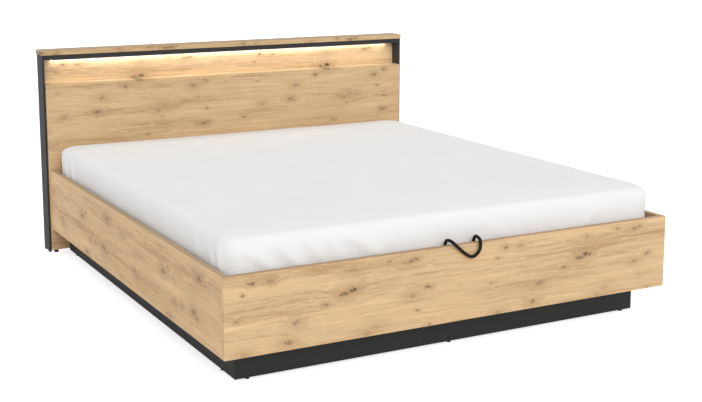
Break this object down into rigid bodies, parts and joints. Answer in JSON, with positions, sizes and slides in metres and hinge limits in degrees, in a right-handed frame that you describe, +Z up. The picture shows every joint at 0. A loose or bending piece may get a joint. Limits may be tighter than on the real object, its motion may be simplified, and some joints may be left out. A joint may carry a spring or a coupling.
{
  "type": "storage bed",
  "caption": "Double storage bed in knotty oak look with a mattress on a gas-sprung lifting slatted base, a lit headboard recess and a black pull loop.",
  "frame": {"origin": "on the floor, under the middle of the bed without its pull loop", "axes": "+X to the bed's right seen from its foot, +Y from the foot to the headboard, +Z up"},
  "size_m": [1.897, 2.1784, 0.943],
  "materials": {
    "knotty_oak_laminate": "satin",
    "anthracite_laminate": "satin",
    "backing_board": "matte",
    "spruce_batten": "matte",
    "birch_slat": "satin",
    "black_plastic": "matte",
    "white_plastic": "matte",
    "buffer_rubber": "matte",
    "anodised_aluminium": "satin",
    "opal_light": "matte",
    "coated_steel": "satin",
    "zinc_plated_steel": "satin",
    "strut_chrome": "polished",
    "mattress_cover": "matte",
    "black_cord": "matte"
  },
  "bodies": {
    "frame": {"corner_angles_foot": "zinc_plated_steel", "corner_angles_head": "zinc_plated_steel", "floor_battens": "spruce_batten", "foot_panel": "knotty_oak_laminate", "frame_studs": "zinc_plated_steel", "headboard_back_rail": "backing_board", "headboard_cap": "knotty_oak_laminate", "headboard_dark_board": "anthracite_laminate", "headboard_front_panel": "knotty_oak_laminate", "headboard_glides": "black_plastic", "headboard_ledge": "knotty_oak_laminate", "headboard_post_left": "anthracite_laminate", "headboard_post_right": "anthracite_laminate", "headboard_recess_panel": "knotty_oak_laminate", "headboard_rib_left": "backing_board", "headboard_rib_right": "backing_board", "led_diffuser": "opal_light", "led_driver": "white_plastic", "led_profile": "anodised_aluminium", "lift_plate_left": "coated_steel", "lift_plate_right": "coated_steel", "plinth_foot": "anthracite_laminate", "plinth_glides": "black_plastic", "plinth_head": "anthracite_laminate", "plinth_left": "anthracite_laminate", "plinth_middle": "anthracite_laminate", "plinth_right": "anthracite_laminate", "rest_batten": "spruce_batten", "rest_blocks": "spruce_batten", "rest_buffers": "buffer_rubber", "side_rail_left": "knotty_oak_laminate", "side_rail_right": "knotty_oak_laminate", "storage_floor_foot": "backing_board", "storage_floor_head": "backing_board"},
    "rear_arms": {"rear_arm_left": "coated_steel", "rear_arm_right": "coated_steel", "arm_studs": "zinc_plated_steel"},
    "base": {"base_side_tube_left": "coated_steel", "base_side_tube_right": "coated_steel", "base_foot_tube": "coated_steel", "base_head_tube": "coated_steel", "base_centre_tube": "coated_steel", "lift_bracket_left": "coated_steel", "lift_bracket_right": "coated_steel", "base_studs": "zinc_plated_steel", "tube_plugs": "black_plastic", "slat_holders": "black_plastic", "slats_left": "birch_slat", "slats_right": "birch_slat", "mattress": "mattress_cover", "mattress_stops": "coated_steel", "loop_anchors": "coated_steel", "loop_ferrules": "zinc_plated_steel", "pull_loop": "black_cord"},
    "front_arms": {"front_arm_left": "coated_steel", "front_arm_right": "coated_steel"},
    "strut_cylinders": {"strut_cylinder_left": "coated_steel", "strut_cylinder_right": "coated_steel"},
    "strut_rods": {"strut_rod_left": "strut_chrome", "strut_rod_right": "strut_chrome"}
  },
  "joints": [
    {"name": "rear_arm_pivot", "type": "hinge", "parent": "frame", "child": "rear_arms", "pos_m": [0, 0.418, 0.26], "axis": [1, 0, 0], "range_deg": [0, 77.6]},
    {"name": "base_pivot", "type": "hinge", "parent": "rear_arms", "child": "base", "pos_m": [0, 0.6855, 0.2845], "axis": [1, 0, 0], "range_deg": [-108.2, 0]},
    {"name": "front_arm_pivot", "type": "hinge", "parent": "frame", "child": "front_arms", "pos_m": [0, 0.2725, 0.1305], "axis": [1, 0, 0], "range_deg": [0, 64.3]},
    {"name": "strut_foot_pivot", "type": "hinge", "parent": "frame", "child": "strut_cylinders", "pos_m": [0, 0.48785, 0.125], "axis": [1, 0, 0], "range_deg": [0, 38.9]},
    {"name": "strut_rod_pivot", "type": "hinge", "parent": "rear_arms", "child": "strut_rods", "pos_m": [0, 0.56668, 0.2916], "axis": [1, 0, 0], "range_deg": [-38.9, 0]}
  ],
  "couplings": [
    {"joint": "base_pivot", "follows": "rear_arm_pivot", "ratio": -1.3907},
    {"joint": "front_arm_pivot", "follows": "rear_arm_pivot", "ratio": 0.82567},
    {"joint": "strut_foot_pivot", "follows": "rear_arm_pivot", "ratio": 0.5},
    {"joint": "strut_rod_pivot", "follows": "rear_arm_pivot", "ratio": -0.5}
  ]
}
